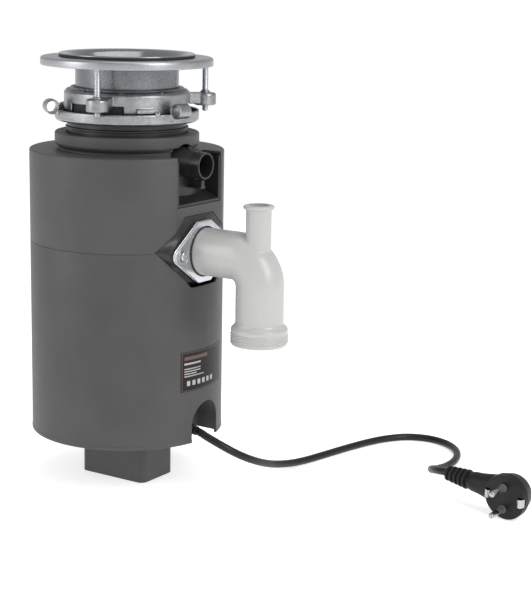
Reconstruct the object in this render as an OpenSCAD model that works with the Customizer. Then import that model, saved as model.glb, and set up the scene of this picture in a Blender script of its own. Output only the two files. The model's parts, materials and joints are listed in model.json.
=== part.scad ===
// Kitchen garbage disposal, continuous feed, three-bolt sink mount.
// Origin: centre of the pedestal's foot. +Z up, +X towards the waste outlet.

/* [Body] */
// Outer radius of the body shells
body_r = 82.3; // [82.3:0.1:82.6]
// Wall thickness of the plastic shells
shell_wall = 2.2; // [1.8:0.1:2.4]
// Height of the lower rim of the body above the foot
rim_z = 43.6; // [43.0:0.1:44.0]
// Height of the seam between the lower shell and the upper cover
seam_z = 208.8; // [208.4:0.1:209.2]
// Height of the body's top face
top_z = 286.2; // [286.0:0.1:286.6]
// Distance of the flat outlet panel from the axis
panel_x = 75.4; // [75.2:0.1:75.6]

/* [Pedestal] */
// Half length of the foot along X
foot_x = 34; // [32:0.5:36]
// Half width of the foot along Y
foot_y = 22; // [20:0.5:24]
// Radius of the foot's upright corners
foot_corner_r = 6; // [4:0.5:8]

/* [Sink mount] */
// Radius of the sink flange lip
flange_r = 57; // [56:0.5:58]
// Outer radius of the flange's throat tube
throat_r = 43.5; // [43.3:0.1:43.6]
// Radius of the backing flange
backing_r = 72.4; // [72:0.1:73]
// Pitch radius of the three clamp screws
screw_pitch_r = 67; // [66.8:0.1:67.2]
// Radius of each clamp screw
screw_r = 2.75; // [2.7:0.01:2.76]
// Angle of the first clamp screw about the axis
screw_angle = 47.2; // [46:0.2:48]
// Angle of the first tab of the lock ring
tab_angle = -9; // [-10:0.5:-8]

/* [Outlet] */
// Height of the outlet axis
outlet_z = 206.3; // [206.1:0.1:206.5]
// Outer radius of the discharge pipe
pipe_r = 20; // [19.8:0.1:20]
// Inner radius of the waste way
way_r = 17.5; // [16.5:0.5:17.5]
// Distance of the elbow's upright leg from the axis
leg_x = 137; // [136:0.5:138]
// Outer radius of the leg's threaded end
thread_r = 23.9; // [23.5:0.1:24]
// Height of the lower end of the leg
leg_z = 135; // [134.5:0.1:135.5]
// Distance of the hose nipple from the axis
nipple_x = 134.7; // [134.2:0.1:135.2]
// Height of the top of the hose nipple
nipple_z = 250.3; // [249:0.1:251]

/* [Dishwasher inlet] */
// Height of the inlet axis
inlet_z = 277.5; // [277.3:0.1:277.7]
// Outer radius of the inlet spigot
inlet_r = 11.1; // [11.0:0.05:11.2]

/* [Grinding] */
// Inner radius of the grinding chamber
chamber_r = 62.5; // [62.4:0.1:62.6]
// Radius of the turntable
table_r = 56.5; // [56:0.1:57]
// Pivot radius of the impellers
impeller_pitch_r = 38; // [37:0.5:38]

/* [Motor] */
// Radius of the motor shaft
shaft_r = 6; // [5.98:0.01:6]
// Outer radius of the motor can
can_r = 51; // [50.8:0.1:51.2]
// Radius of the rotor stack
rotor_r = 43.6; // [43:0.1:43.8]

/* [Cord] */
// Diameter of the mains cord
cord_d = 6.6; // [6.2:0.1:6.6]

/* [Hidden] */
$fn = 72;

body_in = body_r - shell_wall;
panel_in = panel_x - shell_wall + 0.2;
upper_brg_z = 172;
lower_brg_z = 62;
ball_pitch_r = 10;
ball_r = 2.3;
arch_y = 3.5;
arch_r = 19;
arch_z = 58;

// Route of the cord's centre line, from the strain relief to the plug.
cord_route = [[78, -4, 51], [90, -3, 46.5], [101, 0.5, 41], [109, 8, 34.5], [113.5, 19, 28], [115, 32, 22], [114.5, 46, 16.5], [113.5, 61, 11.5], [114, 77, 7.5],
  [116, 94, 4.8], [119, 112, 3.6], [123, 132, 3.4], [127, 152, 3.4], [131.5, 172, 3.4], [137, 192, 3.4], [145, 211, 3.4], [158, 227, 3.4],
  [176, 234, 3.4], [195, 231, 3.4], [211, 220, 3.4], [222, 204, 3.4], [228, 185, 3.4], [229.5, 165, 4.2], [231, 146, 7.6], [235, 128, 12.8], [243.5, 112.5, 18.2],
  [253.5, 102.5, 22], [265, 97.7, 23.5]];

// Where the plug lies: centre of its face, and its turn.
plug_at = [326.5, 77.5, 19];
plug_turn = [-6, -3, 172];
plug_len = 64;

ear_screw_y = 31;

// ---------- helpers ----------
module ring(r1, r2, z1, z2) { translate([0, 0, z1]) difference() { cylinder(r = r2, h = z2 - z1); translate([0, 0, -1]) cylinder(r = r1, h = z2 - z1 + 2); } }
module disc(r, z1, z2) { translate([0, 0, z1]) cylinder(r = r, h = z2 - z1); }
module xcyl(r, x1, x2, z, y = 0) { translate([x1, y, z]) rotate([0, 90, 0]) cylinder(r = r, h = x2 - x1); }
module xcone(r1, r2, x1, x2, z, y = 0) { translate([x1, y, z]) rotate([0, 90, 0]) cylinder(r1 = r1, r2 = r2, h = x2 - x1); }
module polar(r, a, z) { rotate([0, 0, a]) translate([r, 0, z]) children(); }
module block(x1, x2, y1, y2, z1, z2) { translate([x1, y1, z1]) cube([x2 - x1, y2 - y1, z2 - z1]); }
module torus(r1, r2, z) { translate([0, 0, z]) rotate_extrude() translate([r1, 0]) circle(r = r2, $fn = 36); }
// A wedge from angle a1 to angle a2, under 180 degrees, for trimming rings.
module wedge(a1, a2, z1, z2, r = 100) {
  translate([0, 0, z1]) linear_extrude(height = z2 - z1)
    polygon([[0, 0], [r * cos(a1), r * sin(a1)], [r * 1.3 * cos((2 * a1 + a2) / 3), r * 1.3 * sin((2 * a1 + a2) / 3)],
      [r * 1.3 * cos((a1 + 2 * a2) / 3), r * 1.3 * sin((a1 + 2 * a2) / 3)], [r * cos(a2), r * sin(a2)]]);
}
// Six-sided window of the outlet, pushed along X.
module hex_window(x1, x2, grow = 0) {
  translate([x1, 0, 0]) rotate([90, 0, 90]) linear_extrude(height = x2 - x1)
    polygon([[-48.8 - grow, 209.8], [-20 - grow / 2, 236.8 + grow], [20 + grow / 2, 236.8 + grow], [48.8 + grow, 209.8], [17.5 + grow / 2, 177.8 - grow], [-17.5 - grow / 2, 177.8 - grow]]);
}
// Arch of the cord pocket, pushed along X.
module arch(x1, x2, r, z0) {
  xcyl(r, x1, x2, arch_z, arch_y);
  block(x1, x2, arch_y - r, arch_y + r, z0, arch_z);
}
// Outline of the outlet flange: a waisted oval with two screw ears.
module oval_plate(x1, x2, ear_y = 34.6, ear_r = 6.6, mid_r = 25.7) {
  translate([x1, 0, outlet_z]) rotate([90, 0, 90]) linear_extrude(height = x2 - x1) {
    polygon([[-8.5, mid_r], [8.5, mid_r], [ear_y + ear_r * 0.56, ear_r * 0.82], [ear_y + ear_r * 0.56, -ear_r * 0.82], [8.5, -mid_r], [-8.5, -mid_r], [-ear_y - ear_r * 0.56, -ear_r * 0.82], [-ear_y - ear_r * 0.56, ear_r * 0.82]]);
    for (s = [-1, 1]) translate([s * ear_y, 0]) circle(r = ear_r);
  }
}

// ---------- sink mount ----------
module sink_flange() color("silver") difference() {
  rotate_extrude() polygon([[flange_r, 364.8], [flange_r, 365.6], [flange_r - 1, 366], [51.5, 365.6], [48, 363.6], [44.4, 359.6], [42, 355.5], [42, 322],
    [throat_r, 322], [throat_r, 356.2], [46, 359.6], [49, 362.4], [52, 364.6]]);
  torus(44.4, 1.35, 332.6);
}
module sink_gasket() color([0.15, 0.15, 0.16]) rotate_extrude() polygon([[52.8, 363.2], [flange_r, 363.2], [flange_r, 364.7], [52.8, 364.6]]);
module backing_flange() color([0.72, 0.73, 0.75]) difference() {
  rotate_extrude() polygon([[52.2, 360.8], [70.2, 360.8], [70.4, 360.6], [70.4, 356], [backing_r, 356], [backing_r, 360.6], [71.6, 362.2], [70, 362.8], [50.7, 362.8], [50.7, 357.6], [52.2, 357.6]]);
}
module mount_screws() color("silver") for (k = [0:2]) polar(screw_pitch_r, screw_angle + 120 * k, 0) difference() {
  disc(screw_r, 317, 360.5);
  block(-4, 4, -0.5, 0.5, 316, 318.2);
}
module mounting_ring() color([0.75, 0.76, 0.78]) difference() {
  union() {
    difference() {
      rotate_extrude() polygon([[43.9, 335.2], [47.3, 335.2], [47.6, 334.2], [49.8, 334.2], [51.3, 332.8], [51.3, 319], [52.9, 319], [52.9, 333.6], [50.6, 336], [48.2, 336.4], [47.5, 338], [45.5, 338], [43.9, 337.2]]);
      for (k = [0:2]) rotate([0, 0, 120 * k]) wedge(-112, -55, 318, 325.5);
    }
    for (k = [0:2]) rotate([0, 0, screw_angle + 120 * k]) {
      translate([screw_pitch_r, 0, 322]) cylinder(r = 9.3, h = 10.5);
      difference() { block(45, screw_pitch_r, -7.5, 7.5, 323.5, 332.5); disc(52, 320, 335); }
      translate([screw_pitch_r, 0, 332.5]) cylinder(r = 4.2, h = 2);
    }
    for (k = [0:2]) intersection() {
      ring(52.4, 57.5, 320, 323.2);
      rotate([0, 0, 120 * k]) wedge(-44, -28, 319, 324);
    }
  }
  for (k = [0:2]) polar(screw_pitch_r, screw_angle + 120 * k, 300) cylinder(r = screw_r + 0.06, h = 50);
}
module snap_ring() color("gray") difference() {
  torus(44.4, 1.3, 332.6);
  wedge(160, 172, 330, 335);
}
module lock_ring() color([0.72, 0.73, 0.75]) union() {
  rotate_extrude() polygon([[46.9, 312.7], [54.8, 312.7], [55.6, 310.9], [57.2, 309.8], [59.3, 310.2], [60.6, 311.8], [60.6, 318.6], [60, 319.4], [59.2, 319.4], [58.9, 318.8], [58.9, 312.8], [58.2, 311.7], [57.4, 311.6], [56.8, 312.5], [56.4, 314.1], [46.9, 314.1]]);
  for (k = [0:2]) rotate([0, 0, tab_angle + 120 * k]) difference() {
    union() {
      translate([64.6, 6, 321.8]) rotate([90, 0, 0]) cylinder(r = 6.2, h = 13);
      block(59.2, 61, -8, 7, 314, 319.4);
    }
    translate([64.6, 12, 321.8]) rotate([90, 0, 0]) cylinder(r = 4.8, h = 24);
    disc(59, 300, 330);
  }
}
module mount_gasket() color([0.1, 0.1, 0.1]) rotate_extrude() polygon([[49.1, 314.6], [51, 314.6], [51, 326], [50, 327], [43.6, 327], [43.6, 322], [42, 322], [42, 317.6], [49.1, 317.6]]);
module splash_guard() color([0.12, 0.12, 0.12]) difference() {
  union() { ring(39.4, 41.9, 322.5, 336); disc(41.9, 322.5, 324.3); }
  translate([0, 0, 320]) cylinder(r = 13, h = 10);
  for (k = [0:3]) rotate([0, 0, 45 * k + 10]) block(-36, 36, -0.7, 0.7, 320, 330);
}

// ---------- body shells ----------
module upper_cover() color([0.35, 0.35, 0.34]) difference() {
  union() {
    intersection() {
      difference() {
        rotate_extrude() polygon([[0, seam_z + 0.3], [body_r, seam_z + 0.3], [body_r, top_z - 1.2], [body_r - 1.2, top_z], [0, top_z]]);
        intersection() { disc(body_in, seam_z - 5, top_z - 2.4); block(-100, panel_in, -100, 100, 150, 300); }
      }
      block(-100, panel_x, -100, 100, 150, 300);
    }
    rotate_extrude() polygon([[53.3, 284.5], [55.5, 284.5], [55.5, 286.4], [60.2, 290.6], [61, 291.6], [61, 299.6], [60.2, 300.5], [51, 300.5], [51, 298.3], [58.6, 298.3], [58.6, 292.2], [53.3, 287.4]]);
  }
  disc(53.3, 200, 287.2);
  hex_window(60, 90);
  block(56.6, 100, -30.5, 30.5, 244.8, 291);
  xcyl(16.4, 50, 90, inlet_z);
}
module lower_shell() color([0.35, 0.35, 0.34]) difference() {
  union() {
    rotate_extrude() polygon([[body_in, rim_z], [body_r + 0.3, rim_z], [body_r + 0.3, rim_z + 2.4], [body_r, rim_z + 3.4], [body_r, seam_z - 0.1], [body_in, seam_z - 0.1]]);
    difference() {
      rotate_extrude() polygon([[body_in + 0.4, 203], [body_in + 0.4, seam_z - 3], [body_in - 0.2, seam_z - 2], [body_in - 0.2, 213], [body_in - 1.7, 213], [body_in - 1.7, 203], [body_in - 1, 201]]);
      block(60, 100, -54, 54, 190, 220);
    }
    for (a = [70, 190, 310]) intersection() { polar(76, a, 49.2) cylinder(r = 4.6, h = 22); disc(body_in + 0.5, 0, 100); }
  }
  arch(56, 100, arch_r, 30);
  hex_window(60, 90);
  for (a = [70, 190, 310]) polar(76, a, 48) cylinder(r = 1.85, h = 14);
}
module bottom_cover() color([0.36, 0.36, 0.35]) difference() {
  union() {
    disc(body_in - 0.3, 46, 49);
    block(-foot_x, foot_x, -foot_y + foot_corner_r, foot_y - foot_corner_r, 0, 47);
    block(-foot_x + foot_corner_r, foot_x - foot_corner_r, -foot_y, foot_y, 0, 47);
    for (sx = [-1, 1], sy = [-1, 1]) translate([sx * (foot_x - foot_corner_r), sy * (foot_y - foot_corner_r), 0]) cylinder(r = foot_corner_r, h = 47);
    intersection() { arch(56.5, 90, arch_r + 2, 46); disc(body_in - 0.3, 0, 100); }
  }
  block(-foot_x + 2.5, foot_x - 2.5, -foot_y + 2.5, foot_y - 2.5, 3, 60);
  arch(59, 100, arch_r, 30);
  translate([50, -5.3, 56.2]) rotate([0, 90 + 10.8, 2.7]) cylinder(r = 6.4, h = 20);
  block(47.4, 56.3, -13.5, 3, 47.8, 52);
  translate([-57, 0, 40]) cylinder(r = 3.3, h = 20);
  for (a = [70, 190, 310]) { polar(76, a, 40) cylinder(r = 1.9, h = 20); }
}
module base_screws() color("silver") for (a = [70, 190, 310]) polar(76, a, 0) difference() {
  union() { disc(1.75, 45.5, 60); disc(3.4, 44, 46); }
  block(-2, 2, -0.4, 0.4, 43, 44.8);
  block(-0.4, 0.4, -2, 2, 43, 44.8);
}
module sound_insulation() color([0.25, 0.25, 0.26]) difference() {
  ring(66.4, 79.4, 242, 282);
  block(0, 100, -36, 36, 200, 300);
}

// ---------- grinding ----------
module container() color([0.13, 0.13, 0.13]) difference() {
  union() {
    rotate_extrude() polygon([[chamber_r, 233], [72, 233], [72, 237.4], [65, 237.4], [65, 268], [52, 283.5], [50.3, 287], [50.3, 303.6], [51.8, 304], [51.8, 305.2], [50.3, 305.8],
      [50.3, 311.4], [49.7, 312], [46.6, 312], [46.6, 314.5], [49, 314.5], [49, 317.5], [44.3, 317.5], [44, 316], [44, 287], [48.5, 282], [chamber_r, 267]]);
    // dishwasher inlet, its rib and the walls around it
    difference() {
      union() {
        xcyl(inlet_r, 68, 82, inlet_z);
        xcone(15.6, inlet_r, 50, 72, inlet_z);
        block(56, 71.5, -2, 2, 259.5, inlet_z);
        block(56, 79, -2, 2, 259.5, inlet_z - inlet_r - 1.2);
        block(56, 79, -3.2, 3.2, 258.5, 260);
        block(50, 66, -2, 2, inlet_z, 291);
        for (s = [-1, 1]) block(46, 75, s > 0 ? 28 : -30, s > 0 ? 30 : -28, 246, 283);
        translate([0, 30, 0]) rotate([90, 0, 0]) linear_extrude(height = 60) polygon([[60, 250], [75, 245.2], [75, 247.2], [60, 254]]);
      }
      disc(64, 230, 268.5);
      disc(51, 260, 320);
    }
  }
  xcyl(9.6, 40, 90, inlet_z);
  for (k = [0:5]) polar(69.2, 30 + 60 * k, 230) cylinder(r = 2.1, h = 10);
}
module shredder_ring() color([0.7, 0.7, 0.72]) difference() {
  ring(58, 62.3, 237.6, 256);
  for (k = [0:11]) rotate([0, 0, 15 * k + 4]) block(-60.4, 60.4, -2.6, 2.6, 240, 250);
}
module container_seal() color([0.1, 0.1, 0.1]) ring(chamber_r, 66.6, 232, 233);
module container_bolts() color("silver") for (k = [0:5]) polar(69.2, 30 + 60 * k, 0) union() { disc(2, 228, 238); disc(2.7, 237.4, 240.4); }
module turntable() color([0.72, 0.72, 0.74]) difference() {
  union() { disc(table_r, 238, 241); disc(14, 229, 239); }
  disc(shaft_r + 0.03, 220, 250);
  for (s = [-1, 1]) translate([s * impeller_pitch_r, 0, 230]) cylinder(r = 3, h = 20);
  for (k = [0:9]) polar(k % 2 == 0 ? 49 : 27, 18 + 36 * k, 236) cylinder(r = 3, h = 8);
}
module impeller() difference() {
  union() {
    disc(8, 241.4, 249.2);
    translate([0, 10.5, 241.4]) cylinder(r = 6, h = 7.8);
    block(-6, 6, 0, 10.5, 241.4, 249.2);
    translate([0, 10.5, 249]) cylinder(r = 4.6, h = 2.6);
  }
  disc(3.05, 240, 252);
}
module impeller_a() color("silver") translate([impeller_pitch_r, 0, 0]) impeller();
module impeller_b() color("silver") translate([-impeller_pitch_r, 0, 0]) rotate([0, 0, 180]) impeller();
module impeller_rivets() color("gray") for (s = [-1, 1]) translate([s * impeller_pitch_r, 0, 0]) union() { disc(3, 237, 250.5); disc(5, 236.4, 238); disc(5, 249.5, 251.6); }
module turntable_nut() color("gray") difference() {
  union() { disc(10, 241, 242.2); translate([0, 0, 242]) cylinder(r = 9, h = 6, $fn = 6); }
  disc(shaft_r, 240, 250);
}
module drain_housing() color([0.6, 0.6, 0.62]) difference() {
  union() {
    disc(66, 181, 232);
    disc(72, 227, 232);
    disc(17.5, 171, 182);
    ring(48.8, 60, 174, 182);
    xcyl(24, 50, 74, outlet_z);
    oval_plate(71, 77);
  }
  disc(62, 188, 240);
  rotate_extrude() polygon([[0, 185], [14, 185], [62, 188.01], [62, 190], [0, 190]]);
  disc(14, 170, 180);
  disc(9.4, 170, 190);
  disc(12, 181.6, 190);
  xcyl(way_r, 40, 90, outlet_z);
  xcyl(23, 73, 90, outlet_z);
  for (s = [-1, 1]) { xcyl(2.4, 66, 90, outlet_z, s * ear_screw_y); translate([0, s * 55.5, 170]) cylinder(r = 2.55, h = 11); }
  for (k = [0:5]) polar(69.2, 30 + 60 * k, 226) cylinder(r = 2.05, h = 10);
}
module shaft_seal() color([0.1, 0.1, 0.1]) rotate_extrude() polygon([[6.3, 181.6], [12, 181.6], [12, 186.5], [8, 186.5], [7, 189], [6.3, 189]]);
// Moulded collar that fills the six-sided window round the outlet flange.
module outlet_boot() color([0.1, 0.1, 0.1]) difference() {
  hull() {
    oval_plate(76, 76.9, ear_r = 7, mid_r = 26.1);
    for (s = [-1, 1]) {
      translate([64, s * 47.6 - 0.2, 209.6]) cube([0.6, 0.4, 0.4]);
      translate([66, s * 19.3 - 0.2, 235.7]) cube([7, 0.4, 0.4]);
      translate([66, s * 16.8 - 0.2, 178.5]) cube([7, 0.4, 0.4]);
    }
  }
  oval_plate(60, 77.1);
  xcyl(24, 50, 80, outlet_z);
  disc(66.1, 170, 234);
  disc(72.1, 226.9, 245);
}
module outlet_gasket() color([0.08, 0.08, 0.08]) difference() {
  union() { oval_plate(77, 79.4); xcyl(21.2, 78, 82.8, outlet_z); }
  xcyl(pipe_r + 0.35, 70, 90, outlet_z);
  for (s = [-1, 1]) xcyl(2.4, 70, 90, outlet_z, s * ear_screw_y);
}
module outlet_plate() color("silver") difference() {
  oval_plate(79.4, 82);
  xcyl(21.2, 70, 90, outlet_z);
  for (s = [-1, 1]) xcyl(2.4, 70, 90, outlet_z, s * ear_screw_y);
}
module outlet_screws() color("silver") for (s = [-1, 1]) difference() {
  union() { xcyl(2.3, 66.5, 83, outlet_z, s * ear_screw_y); xcyl(3.9, 82, 84.4, outlet_z, s * ear_screw_y); }
  translate([83.2, s * ear_screw_y, outlet_z]) rotate([0, 90, 0]) cylinder(r = 2, h = 3, $fn = 6);
}
// A quarter bend in the XZ plane from the horizontal pipe to the leg.
module bend(r) { translate([leg_x - 23.5, 0, outlet_z - 23.5]) rotate([90, 0, 0]) rotate_extrude(angle = 90) translate([23.5, 0]) circle(r = r); }
module discharge_elbow() color([0.78, 0.78, 0.77]) difference() {
  union() {
    xcyl(22.6, 73.4, 76.6, outlet_z);
    xcyl(pipe_r, 73.4, leg_x - 23.5, outlet_z);
    bend(pipe_r);
    translate([leg_x, 0, leg_z + 8]) cylinder(r = pipe_r + 0.2, h = outlet_z - 23.5 - leg_z - 8);
    translate([leg_x, 0, leg_z]) cylinder(r = thread_r, h = 16.2);
    translate([nipple_x, 0, 205]) cylinder(r = 10.5, h = nipple_z - 205);
    translate([nipple_x, 0, nipple_z - 3.2]) cylinder(r = 12.8, h = 3.2);
  }
  xcyl(way_r, 70, leg_x - 23.5, outlet_z);
  bend(way_r);
  translate([leg_x, 0, leg_z - 1]) cylinder(r = way_r, h = outlet_z - 22.5 - leg_z);
  translate([nipple_x, 0, 203]) cylinder(r = 8.6, h = 60);
}

// ---------- motor ----------
module stator_can() color([0.55, 0.56, 0.58]) ring(48.6, can_r, 78, 174);
module magnets() color([0.25, 0.25, 0.27]) for (k = [0:3]) intersection() {
  ring(44.6, 48.5, 104, 166);
  rotate([0, 0, 90 * k + 10]) wedge(0, 70, 100, 170);
}
module rotor_core() color([0.5, 0.5, 0.53]) difference() {
  disc(rotor_r, 112, 158);
  disc(shaft_r, 100, 170);
  for (k = [0:11]) rotate([0, 0, 30 * k]) block(32, 50, -1.6, 1.6, 110, 160);
}
module armature_winding() color([0.72, 0.4, 0.2]) union() {
  rotate_extrude() polygon([[18, 158], [40, 158], [40, 164], [36, 168], [22, 168], [18, 165]]);
  rotate_extrude() polygon([[18, 112], [40, 112], [40, 107], [36, 103.5], [22, 103.5], [18, 106]]);
  for (k = [0:11]) rotate([0, 0, 30 * k]) block(33, 39.8, -1.4, 1.4, 111, 159);
}
module commutator() color([0.75, 0.45, 0.25]) difference() {
  union() { disc(14, 88, 102); disc(15.5, 99.5, 102); }
  disc(shaft_r, 80, 110);
  for (k = [0:11]) rotate([0, 0, 15 * k]) difference() { block(-16, 16, -0.3, 0.3, 87, 99); disc(13.2, 80, 100); }
}
module shaft() color("silver") union() { disc(shaft_r, 60.6, 248); disc(8, 160, 171.6); }
module race_outer(z) difference() { ring(11.5, 14, z, z + 8); torus(ball_pitch_r, ball_r + 0.06, z + 4); }
module race_inner(z) difference() { ring(shaft_r, 8.5, z, z + 8); torus(ball_pitch_r, ball_r + 0.06, z + 4); }
module race_balls(z) for (k = [0:7]) polar(ball_pitch_r, 45 * k, z + 4) sphere(r = ball_r, $fn = 36);
module upper_bearing_outer() color("silver") race_outer(upper_brg_z);
module upper_bearing_inner() color("silver") race_inner(upper_brg_z);
module upper_bearing_balls() color("white") race_balls(upper_brg_z);
module lower_bearing_outer() color("silver") race_outer(lower_brg_z);
module lower_bearing_inner() color("silver") race_inner(lower_brg_z);
module lower_bearing_balls() color("white") race_balls(lower_brg_z);
module brush_holders() color([0.2, 0.17, 0.14]) for (a = [0, 180]) rotate([0, 0, a]) difference() {
  union() { block(16.5, 42, -6.5, 6.5, 89.5, 99.5); block(24, 40, -6.5, 6.5, 78, 90); }
  block(10, 40.5, -4.1, 4.1, 91.4, 97.6);
}
module carbon_brushes() color([0.12, 0.12, 0.13]) for (a = [0, 180]) rotate([0, 0, a]) block(14.35, 31, -4, 4, 91.5, 97.5);
module brush_springs() color("gray") for (a = [0, 180]) rotate([0, 0, a]) translate([31, 0, 94.5]) rotate([0, 90, 0]) union() {
  for (k = [0:5]) torus(2.2, 0.42, 0.45 + 1.7 * k);
  for (k = [0:4]) rotate([0, 0, 180 * k]) translate([2.2, 0, 0.45 + 1.7 * k]) cylinder(r = 0.35, h = 1.7, $fn = 16);
}
module motor_end_cap() color([0.58, 0.58, 0.6]) difference() {
  union() {
    disc(51.5, 74, 78);
    for (s = [-1, 1]) translate([0, s * 55.5, 74]) cylinder(r = 6, h = 4);
    block(-6, 6, -55.5, 55.5, 74, 78);
    disc(18, 58, 76);
    for (k = [0:3]) rotate([0, 0, 45 + 90 * k]) block(0, 50, -2, 2, 66, 75);
    ring(46, 48.5, 77, 84);
  }
  disc(14, 62, 80);
  disc(9.2, 60.2, 64);
  for (s = [-1, 1]) translate([0, s * 55.5, 70]) cylinder(r = 2.55, h = 12);
}
module through_bolts() color("silver") for (s = [-1, 1]) translate([0, s * 55.5, 0]) union() { disc(2.5, 73, 180); disc(4.3, 70.4, 74); }
module rectifier_board() color([0.1, 0.35, 0.2]) union() {
  block(-28, 28, 64, 65.6, 84, 132);
  block(-22, -2, 65.6, 71, 92, 108);
  translate([12, 65.6, 104]) rotate([-90, 0, 0]) cylinder(r = 7, h = 6);
  block(-16, 8, 65.6, 69, 114, 126);
}
module overload_protector() color([0.15, 0.15, 0.16]) difference() {
  block(-67, -45, -10, 10, 49, 69);
  translate([-57, 0, 48]) cylinder(r = 5.2, h = 11);
}
module reset_button() color([0.7, 0.12, 0.1]) translate([-57, 0, 0]) union() { disc(3, 44.2, 52); disc(4.4, 49.4, 51); }
module terminal_block() color([0.85, 0.83, 0.75]) difference() {
  block(-16, 16, -66, -52, 49, 62);
  for (k = [-1:1]) { translate([k * 10, -59, 54]) cylinder(r = 2.6, h = 10); translate([k * 10, -70, 54]) rotate([-90, 0, 0]) cylinder(r = 1.8, h = 20); }
}

// ---------- cord and plug ----------
module cord_strain_relief() color([0.08, 0.08, 0.08]) union() {
  translate(cord_route[0]) rotate([0, 90 + 10.8, 2.7]) translate([0, 0, -26]) cylinder(r1 = 5.8, r2 = 3.9, h = 26);
  translate(cord_route[0]) rotate([0, 90 + 10.8, 2.7]) translate([0, 0, -28]) cylinder(r = 7.3, h = 2.6);
}
function unit(v) = v / norm(v);
function tangent(p, i) = i == 0 ? [cos(2.7) * cos(10.8), sin(2.7) * cos(10.8), -sin(10.8)] : i == len(p) - 1 ? [-cos(plug_turn[2]) * cos(3), -sin(plug_turn[2]) * cos(3), -sin(3)] : unit(p[i + 1] - p[i - 1]);
function side(t) = unit(cross([0, 0, 1], t));
module power_cord() color([0.08, 0.08, 0.08]) {
  n = 10;
  m = len(cord_route);
  pts = [for (i = [0:m - 1]) let (t = tangent(cord_route, i), u = side(t), w = cross(t, u)) for (k = [0:n - 1]) cord_route[i] + cord_d / 2 * (cos(360 * k / n) * u + sin(360 * k / n) * w)];
  faces = concat([[for (k = [0:n - 1]) k]],
    [for (i = [0:m - 2], k = [0:n - 1]) [i * n + k, (i + 1) * n + k, i * n + (k + 1) % n]],
    [for (i = [0:m - 2], k = [0:n - 1]) [(i + 1) * n + k, (i + 1) * n + (k + 1) % n, i * n + (k + 1) % n]],
    [[for (k = [n - 1:-1:0]) (m - 1) * n + k]]);
  polyhedron(points = pts, faces = faces);
}
// The plug in its own frame: pins along +Y, cord leaving along +X.
module plug_frame() translate(plug_at) rotate(plug_turn) children();
module plug_body() color([0.1, 0.1, 0.1]) plug_frame() union() {
  rotate([90, 0, 0]) cylinder(r = 19, h = 9);
  hull() {
    translate([0, -9, 0]) rotate([90, 0, 0]) cylinder(r = 18, h = 1, $fn = 32);
    translate([0, -20, 0]) rotate([90, 0, 0]) cylinder(r = 14, h = 3, $fn = 32);
    translate([34, -11.5, 0]) rotate([0, 90, 0]) cylinder(r = 8.5, h = 2, $fn = 32);
  }
  translate([35, -11.5, 0]) rotate([0, 90, 0]) cylinder(r1 = 8, r2 = 5.4, h = plug_len - 35);
  for (k = [0:4]) translate([42 + 4.6 * k, -11.5, 0]) rotate([0, 90, 0]) cylinder(r = 8.4 - 0.45 * k, h = 2.2);
}
module plug_pins() color("silver") plug_frame() for (s = [-1, 1]) translate([0, 0, 9.5 * s]) rotate([-90, 0, 0]) union() {
  cylinder(r = 2.4, h = 18);
  translate([0, 0, 18]) cylinder(r1 = 2.4, r2 = 1.4, h = 1);
}
module plug_earth_clips() color("silver") plug_frame() for (s = [-1, 1]) translate([s * 16, 0, 0]) block(-1.2, 1.2, 0, 2.2, -4, 4);
module rating_label() color([0.07, 0.07, 0.07]) intersection() {
  ring(body_r, body_r + 0.25, 89.5, 123.5);
  wedge(-18, 21, 80, 130);
}

sink_flange();
sink_gasket();
backing_flange();
mount_screws();
mounting_ring();
snap_ring();
lock_ring();
mount_gasket();
splash_guard();
upper_cover();
lower_shell();
bottom_cover();
base_screws();
sound_insulation();
container();
shredder_ring();
container_seal();
container_bolts();
turntable();
impeller_a();
impeller_b();
impeller_rivets();
turntable_nut();
drain_housing();
shaft_seal();
outlet_boot();
outlet_gasket();
outlet_plate();
outlet_screws();
discharge_elbow();
stator_can();
magnets();
rotor_core();
armature_winding();
commutator();
shaft();
upper_bearing_outer();
upper_bearing_inner();
upper_bearing_balls();
lower_bearing_outer();
lower_bearing_inner();
lower_bearing_balls();
brush_holders();
carbon_brushes();
brush_springs();
motor_end_cap();
through_bolts();
rectifier_board();
overload_protector();
reset_button();
terminal_block();
cord_strain_relief();
power_cord();
plug_body();
plug_pins();
plug_earth_clips();
rating_label();
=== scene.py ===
import json
import math
import bpy
import bmesh
from mathutils import Matrix, Vector


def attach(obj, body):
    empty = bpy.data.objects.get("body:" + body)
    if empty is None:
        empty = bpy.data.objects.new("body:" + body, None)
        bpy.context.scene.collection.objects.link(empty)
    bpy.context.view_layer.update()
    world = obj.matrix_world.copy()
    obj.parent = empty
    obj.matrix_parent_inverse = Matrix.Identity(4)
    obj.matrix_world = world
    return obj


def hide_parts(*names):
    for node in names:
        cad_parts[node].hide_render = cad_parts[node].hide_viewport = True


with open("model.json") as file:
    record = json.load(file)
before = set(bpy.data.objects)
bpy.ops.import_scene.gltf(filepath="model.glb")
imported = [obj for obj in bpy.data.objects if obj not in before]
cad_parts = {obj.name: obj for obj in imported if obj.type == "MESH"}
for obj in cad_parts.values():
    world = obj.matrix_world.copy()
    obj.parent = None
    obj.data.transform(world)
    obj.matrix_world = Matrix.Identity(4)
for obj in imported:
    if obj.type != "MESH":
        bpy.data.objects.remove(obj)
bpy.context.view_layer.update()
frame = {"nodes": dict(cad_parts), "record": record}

MM = 0.001
scene = bpy.context.scene
nodes = frame["nodes"]

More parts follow.
